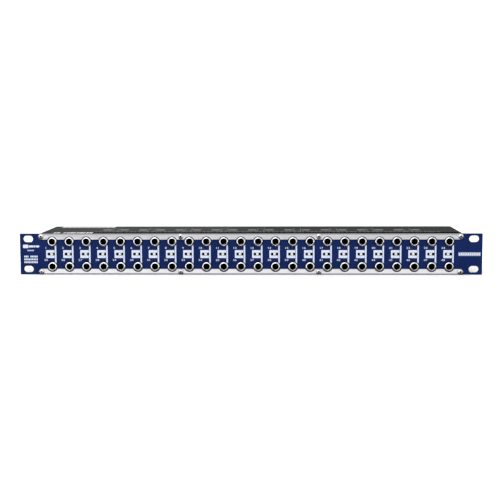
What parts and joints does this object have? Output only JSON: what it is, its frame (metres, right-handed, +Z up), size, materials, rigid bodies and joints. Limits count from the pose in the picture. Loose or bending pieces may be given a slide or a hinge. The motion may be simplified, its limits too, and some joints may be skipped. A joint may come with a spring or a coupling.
{
  "type": "audio patch bay",
  "caption": "One-unit rack panel with two rows of quarter-inch sockets at the front, matching sockets at the back, and a sliding mode switch between each pair.",
  "frame": {"origin": "centre of the four rack slots, on the rear (mounting) face of the front panel", "axes": "+X to the right as seen from the front, +Y into the body (the front faces -Y), +Z up"},
  "size_m": [0.4826, 0.0944, 0.043],
  "materials": {
    "blue_panel_paint": "satin powder coat",
    "trim_metal": "fine brushed, clear anodised",
    "panel_screw_steel": "bright plated",
    "tray_steel": "satin powder coat",
    "cover_paint": "satin powder coat",
    "cover_screw_steel": "black oxide",
    "standoff_plating": "zinc plated",
    "board_screw_steel": "zinc plated",
    "board_laminate": "solder mask",
    "switch_shell_steel": "tin plated",
    "switch_base_plastic": "phenolic laminate",
    "bushing_nickel": "bright nickel",
    "housing_plastic": "moulded",
    "contact_brass": "spring brass",
    "lever_plastic": "moulded"
  },
  "bodies": {
    "chassis": {"front_panel": "blue_panel_paint", "upper_trim_strip": "trim_metal", "lower_trim_strip": "trim_metal", "front_panel_screws": "panel_screw_steel", "chassis_tray": "tray_steel", "top_cover": "cover_paint", "cover_screws": "cover_screw_steel", "front_upper_socket_bushings": "bushing_nickel", "front_lower_socket_bushings": "bushing_nickel", "rear_upper_socket_bushings": "bushing_nickel", "rear_lower_socket_bushings": "bushing_nickel", "board_standoffs": "standoff_plating", "board_screws": "board_screw_steel", "left_circuit_board": "board_laminate", "centre_circuit_board": "board_laminate", "right_circuit_board": "board_laminate", "front_upper_socket_housings": "housing_plastic", "front_lower_socket_housings": "housing_plastic", "rear_upper_socket_housings": "housing_plastic", "rear_lower_socket_housings": "housing_plastic", "front_sleeve_contacts": "contact_brass", "front_ring_contacts": "contact_brass", "front_tip_contacts": "contact_brass", "front_ring_break_contacts": "contact_brass", "front_tip_break_contacts": "contact_brass", "rear_sleeve_contacts": "contact_brass", "rear_ring_contacts": "contact_brass", "rear_tip_contacts": "contact_brass", "mode_switch_shells": "switch_shell_steel", "mode_switch_bases": "switch_base_plastic"},
    "lever_01": {"mode_switch_lever_01": "lever_plastic"},
    "lever_02": {"mode_switch_lever_02": "lever_plastic"},
    "lever_03": {"mode_switch_lever_03": "lever_plastic"},
    "lever_04": {"mode_switch_lever_04": "lever_plastic"},
    "lever_05": {"mode_switch_lever_05": "lever_plastic"},
    "lever_06": {"mode_switch_lever_06": "lever_plastic"},
    "lever_07": {"mode_switch_lever_07": "lever_plastic"},
    "lever_08": {"mode_switch_lever_08": "lever_plastic"},
    "lever_09": {"mode_switch_lever_09": "lever_plastic"},
    "lever_10": {"mode_switch_lever_10": "lever_plastic"},
    "lever_11": {"mode_switch_lever_11": "lever_plastic"},
    "lever_12": {"mode_switch_lever_12": "lever_plastic"},
    "lever_13": {"mode_switch_lever_13": "lever_plastic"},
    "lever_14": {"mode_switch_lever_14": "lever_plastic"},
    "lever_15": {"mode_switch_lever_15": "lever_plastic"},
    "lever_16": {"mode_switch_lever_16": "lever_plastic"},
    "lever_17": {"mode_switch_lever_17": "lever_plastic"},
    "lever_18": {"mode_switch_lever_18": "lever_plastic"},
    "lever_19": {"mode_switch_lever_19": "lever_plastic"},
    "lever_20": {"mode_switch_lever_20": "lever_plastic"},
    "lever_21": {"mode_switch_lever_21": "lever_plastic"},
    "lever_22": {"mode_switch_lever_22": "lever_plastic"},
    "lever_23": {"mode_switch_lever_23": "lever_plastic"},
    "lever_24": {"mode_switch_lever_24": "lever_plastic"}
  },
  "joints": [
    {"name": "lever_01_slide", "type": "slide", "parent": "chassis", "child": "lever_01", "axis": [1, 0, 0], "range_m": [-0.002, 0.002]},
    {"name": "lever_02_slide", "type": "slide", "parent": "chassis", "child": "lever_02", "axis": [1, 0, 0], "range_m": [-0.002, 0.002]},
    {"name": "lever_03_slide", "type": "slide", "parent": "chassis", "child": "lever_03", "axis": [1, 0, 0], "range_m": [-0.002, 0.002]},
    {"name": "lever_04_slide", "type": "slide", "parent": "chassis", "child": "lever_04", "axis": [1, 0, 0], "range_m": [-0.002, 0.002]},
    {"name": "lever_05_slide", "type": "slide", "parent": "chassis", "child": "lever_05", "axis": [1, 0, 0], "range_m": [-0.002, 0.002]},
    {"name": "lever_06_slide", "type": "slide", "parent": "chassis", "child": "lever_06", "axis": [1, 0, 0], "range_m": [-0.002, 0.002]},
    {"name": "lever_07_slide", "type": "slide", "parent": "chassis", "child": "lever_07", "axis": [1, 0, 0], "range_m": [-0.002, 0.002]},
    {"name": "lever_08_slide", "type": "slide", "parent": "chassis", "child": "lever_08", "axis": [1, 0, 0], "range_m": [-0.002, 0.002]},
    {"name": "lever_09_slide", "type": "slide", "parent": "chassis", "child": "lever_09", "axis": [1, 0, 0], "range_m": [-0.002, 0.002]},
    {"name": "lever_10_slide", "type": "slide", "parent": "chassis", "child": "lever_10", "axis": [1, 0, 0], "range_m": [-0.002, 0.002]},
    {"name": "lever_11_slide", "type": "slide", "parent": "chassis", "child": "lever_11", "axis": [1, 0, 0], "range_m": [-0.002, 0.002]},
    {"name": "lever_12_slide", "type": "slide", "parent": "chassis", "child": "lever_12", "axis": [1, 0, 0], "range_m": [-0.002, 0.002]},
    {"name": "lever_13_slide", "type": "slide", "parent": "chassis", "child": "lever_13", "axis": [1, 0, 0], "range_m": [-0.002, 0.002]},
    {"name": "lever_14_slide", "type": "slide", "parent": "chassis", "child": "lever_14", "axis": [1, 0, 0], "range_m": [-0.002, 0.002]},
    {"name": "lever_15_slide", "type": "slide", "parent": "chassis", "child": "lever_15", "axis": [1, 0, 0], "range_m": [-0.002, 0.002]},
    {"name": "lever_16_slide", "type": "slide", "parent": "chassis", "child": "lever_16", "axis": [1, 0, 0], "range_m": [-0.002, 0.002]},
    {"name": "lever_17_slide", "type": "slide", "parent": "chassis", "child": "lever_17", "axis": [1, 0, 0], "range_m": [-0.002, 0.002]},
    {"name": "lever_18_slide", "type": "slide", "parent": "chassis", "child": "lever_18", "axis": [1, 0, 0], "range_m": [-0.002, 0.002]},
    {"name": "lever_19_slide", "type": "slide", "parent": "chassis", "child": "lever_19", "axis": [1, 0, 0], "range_m": [-0.002, 0.002]},
    {"name": "lever_20_slide", "type": "slide", "parent": "chassis", "child": "lever_20", "axis": [1, 0, 0], "range_m": [-0.002, 0.002]},
    {"name": "lever_21_slide", "type": "slide", "parent": "chassis", "child": "lever_21", "axis": [1, 0, 0], "range_m": [-0.002, 0.002]},
    {"name": "lever_22_slide", "type": "slide", "parent": "chassis", "child": "lever_22", "axis": [1, 0, 0], "range_m": [-0.002, 0.002]},
    {"name": "lever_23_slide", "type": "slide", "parent": "chassis", "child": "lever_23", "axis": [1, 0, 0], "range_m": [-0.002, 0.002]},
    {"name": "lever_24_slide", "type": "slide", "parent": "chassis", "child": "lever_24", "axis": [1, 0, 0], "range_m": [-0.002, 0.002]}
  ]
}
